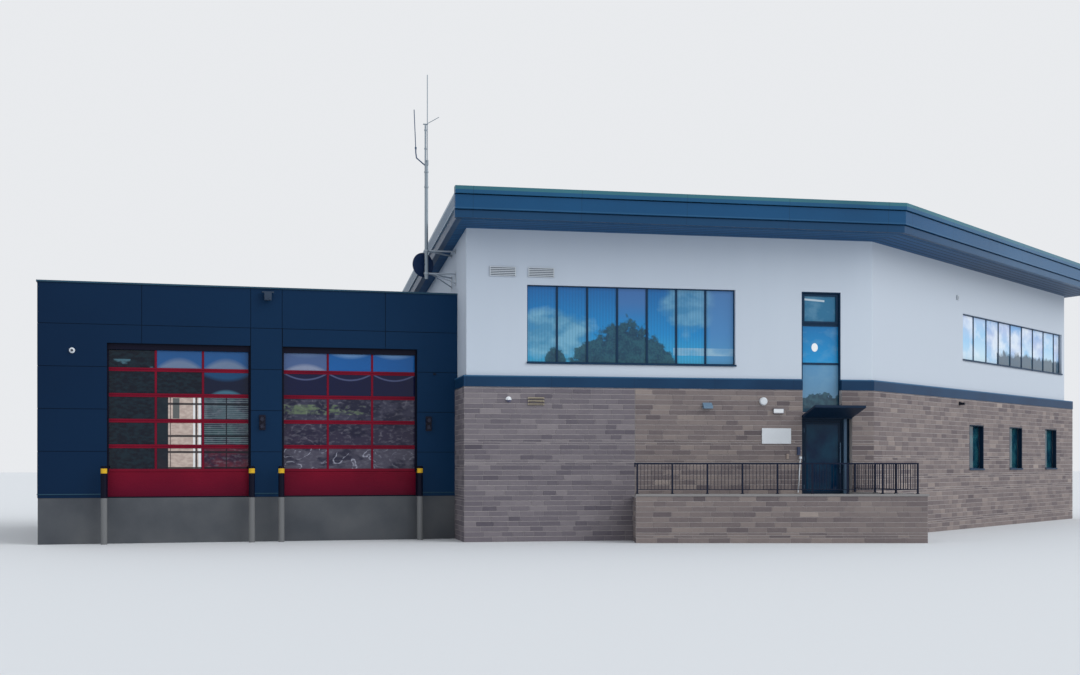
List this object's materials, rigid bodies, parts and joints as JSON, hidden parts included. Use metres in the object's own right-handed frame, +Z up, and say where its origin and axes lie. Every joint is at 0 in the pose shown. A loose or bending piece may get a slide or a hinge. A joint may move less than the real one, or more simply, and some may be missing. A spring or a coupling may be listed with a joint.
{
  "type": "fire station building",
  "caption": "Two-storey stone and render fire station bent round a corner, with a flat-roofed engine hall and red glazed section doors, a raised entrance terrace and a roof-side mast.",
  "frame": {"origin": "the office's front left corner, on the underside of its front wall, at the level of the lowest ground", "axes": "+X along the office front to the right, +Y back into the building, +Z up"},
  "size_m": [38.8801, 25.9686, 13.54],
  "materials": {
    "stone": "coursed, matt",
    "coping_stone": "smooth, matt",
    "concrete": "matt concrete",
    "render": "matt off-white render",
    "blue_metal": "satin slate blue",
    "roof_sheet": "satin grey",
    "light_metal": "satin",
    "railing_metal": "satin dark blue-black",
    "cladding": "satin anthracite",
    "door_black": "satin black",
    "door_red": "satin deep red",
    "window_glass": "clear, tinted",
    "bollard_yellow": "dark with a yellow band",
    "dark_plastic": "matt",
    "grey_metal": "satin grey",
    "white_plastic": "matt white"
  },
  "bodies": {
    "building": {"stone_front_wall": "stone", "stone_entrance_pier": "stone", "stone_entrance_lintel": "stone", "entrance_step": "coping_stone", "stone_side_wall": "stone", "stone_rear_walls": "stone", "stone_left_wall": "stone", "string_band": "blue_metal", "ground_floor": "concrete", "first_floor": "concrete", "render_front_wall": "render", "render_side_wall": "render", "render_rear_walls": "render", "render_left_wall": "render", "roof_soffit": "blue_metal", "roof_deck": "roof_sheet", "front_fascia": "blue_metal", "verge_fascia": "blue_metal", "upper_window_frames": "blue_metal", "upper_window_glass": "window_glass", "lower_window_frames": "blue_metal", "lower_window_glass": "window_glass", "stair_window_frame": "blue_metal", "stair_window_glass": "window_glass", "entrance_frame": "blue_metal", "entrance_post": "light_metal", "door_hinges": "blue_metal", "entrance_canopy": "blue_metal", "terrace_wall": "stone", "terrace_coping": "coping_stone", "terrace_floor": "concrete", "terrace_railing": "railing_metal", "hall_front_wall": "cladding", "hall_left_wall": "cladding", "hall_rear_wall": "cladding", "hall_floor": "concrete", "hall_roof": "roof_sheet", "hall_parapet_cap": "cladding", "hall_drip_trim": "light_metal", "hall_door_frames": "door_black", "hall_door_leaves": "door_red", "hall_door_glass": "window_glass", "bollards": "bollard_yellow", "door_signals": "dark_plastic", "floodlight": "grey_metal", "security_dome": "dark_plastic", "wall_vents": "grey_metal", "wall_lights": "grey_metal", "alarm_box": "white_plastic", "door_entry_units": "white_plastic", "grab_rail": "white_plastic", "side_camera": "dark_plastic", "mast_pole": "grey_metal", "mast_brackets": "grey_metal", "satellite_dish": "grey_metal", "side_antenna": "grey_metal"},
    "entrance_door": {"entrance_door": "blue_metal", "entrance_door_glass": "window_glass", "door_handle": "light_metal"}
  },
  "joints": [
    {"name": "entrance_door_hinge", "type": "hinge", "parent": "building", "child": "entrance_door", "pos_m": [10.007, 0.132, 1.25], "axis": [0, 0, -1], "range_deg": [0, 95]}
  ]
}
